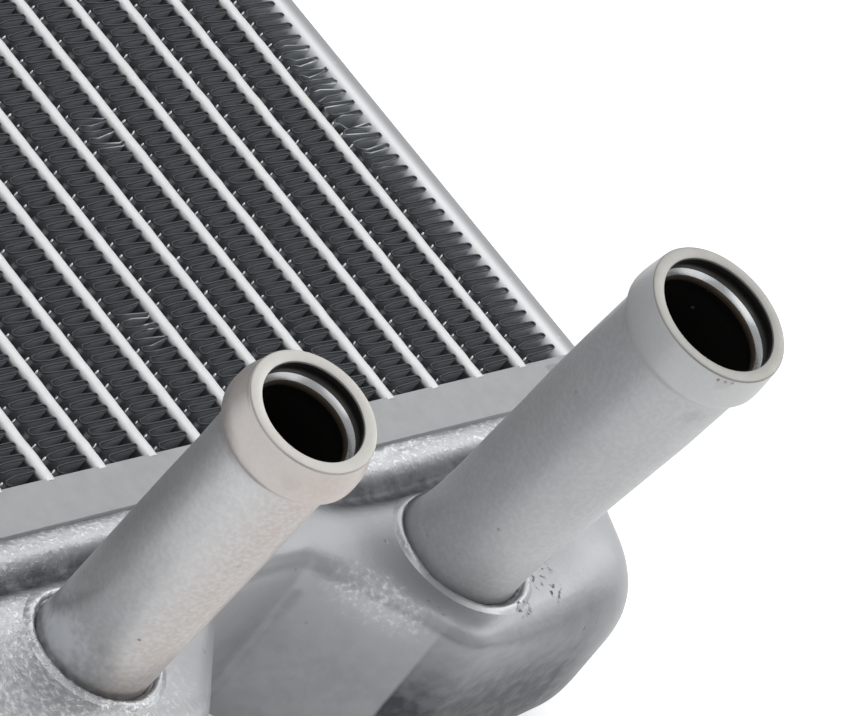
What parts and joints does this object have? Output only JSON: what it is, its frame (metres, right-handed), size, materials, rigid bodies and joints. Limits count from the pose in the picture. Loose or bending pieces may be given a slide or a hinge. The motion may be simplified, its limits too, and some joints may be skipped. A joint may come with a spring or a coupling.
{
  "type": "heater core",
  "caption": "Flat-tube heater core with folded fins between side plates, a pinched pressed tank and two beaded hose pipes.",
  "frame": {"origin": "middle of the back face of the header tray at the pipe end, with the core lying on its back face", "axes": "+Z out of the core's face, roughly along the hose pipes; +Y along the flat tubes, away from the pipe tank; +X from the inlet pipe to the outlet pipe"},
  "size_m": [0.1742, 0.2165, 0.0888],
  "materials": {
    "tube": "bright, brazed",
    "fin": "dull, dark with soot",
    "plate": "satin",
    "header": "matte, brazed",
    "tank": "matte, pebbled with flux",
    "inlet": "satin, drawn, warm grey",
    "outlet": "satin, drawn"
  },
  "bodies": {
    "root": {"tube_01": "tube", "tube_02": "tube", "tube_03": "tube", "tube_04": "tube", "tube_05": "tube", "tube_06": "tube", "tube_07": "tube", "tube_08": "tube", "tube_09": "tube", "tube_10": "tube", "tube_11": "tube", "tube_12": "tube", "tube_13": "tube", "tube_14": "tube", "tube_15": "tube", "tube_16": "tube", "fin_01": "fin", "fin_02": "fin", "fin_03": "fin", "fin_04": "fin", "fin_05": "fin", "fin_06": "fin", "fin_07": "fin", "fin_08": "fin", "fin_09": "fin", "fin_10": "fin", "fin_11": "fin", "fin_12": "fin", "fin_13": "fin", "fin_14": "fin", "fin_15": "fin", "fin_16": "fin", "fin_17": "fin", "side_plate_left": "plate", "side_plate_right": "plate", "header_tray": "header", "return_header_tray": "header", "pipe_tank": "tank", "return_tank": "tank", "divider": "tank", "inlet_pipe": "inlet", "outlet_pipe": "outlet"}
  },
  "joints": []
}
